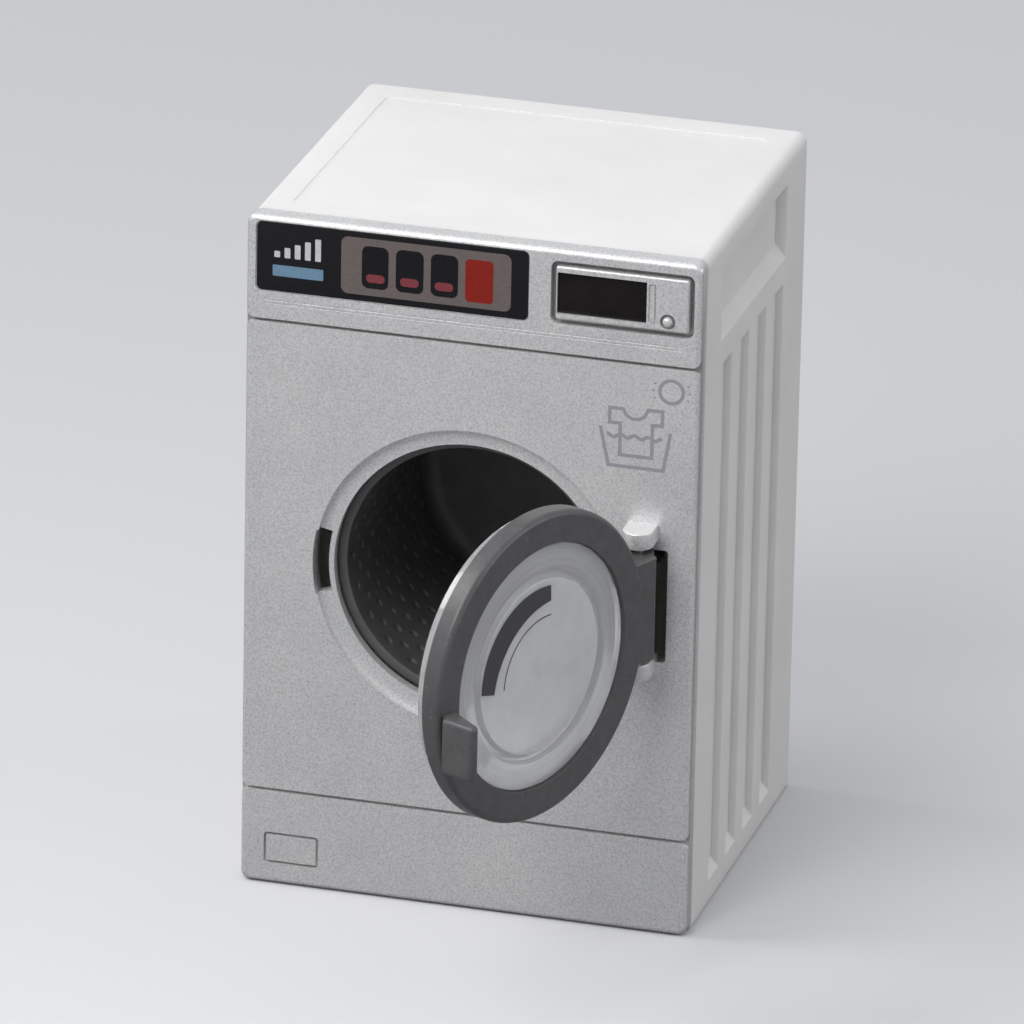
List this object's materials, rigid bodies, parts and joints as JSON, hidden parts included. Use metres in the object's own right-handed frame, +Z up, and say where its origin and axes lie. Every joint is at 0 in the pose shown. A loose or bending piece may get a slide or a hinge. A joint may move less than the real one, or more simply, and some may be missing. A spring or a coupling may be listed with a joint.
{
  "type": "miniature washing machine",
  "caption": "Toy miniature of a front-loading washing machine, silver front and white cabinet, with its round door open and a drum that turns.",
  "frame": {"origin": "middle of the cabinet's underside, where it rests", "axes": "+Z up, front faces -Y, the door's hinge is at +X"},
  "size_m": [0.039, 0.0641, 0.06],
  "materials": {
    "white_plastic": "satin",
    "silver_paint": "silver flake paint",
    "grey_plastic": "satin",
    "clear_plastic": "clear moulded",
    "black_plastic": "satin",
    "printed_film": "printed film",
    "dark_window": "gloss",
    "pin_steel": "plain"
  },
  "bodies": {
    "cabinet": {"cabinet_shell": "white_plastic", "back_cover": "white_plastic", "front_panel": "silver_paint", "control_label": "printed_film", "display_window": "dark_window", "hinge_pin": "pin_steel"},
    "door": {"door_ring": "grey_plastic", "door_window": "clear_plastic", "door_handle": "grey_plastic"},
    "drum_body": {"drum": "black_plastic", "drum_spindle": "pin_steel"}
  },
  "joints": [
    {"name": "door_hinge", "type": "hinge", "parent": "cabinet", "child": "door", "pos_m": [0.01497, -0.01875, 0.0303], "axis": [0, 0, 1], "range_deg": [-66, 50]},
    {"name": "drum_spin", "type": "hinge", "parent": "cabinet", "child": "drum_body", "pos_m": [0, -0.0153, 0.02977], "axis": [0, 1, 0], "continuous": true}
  ]
}
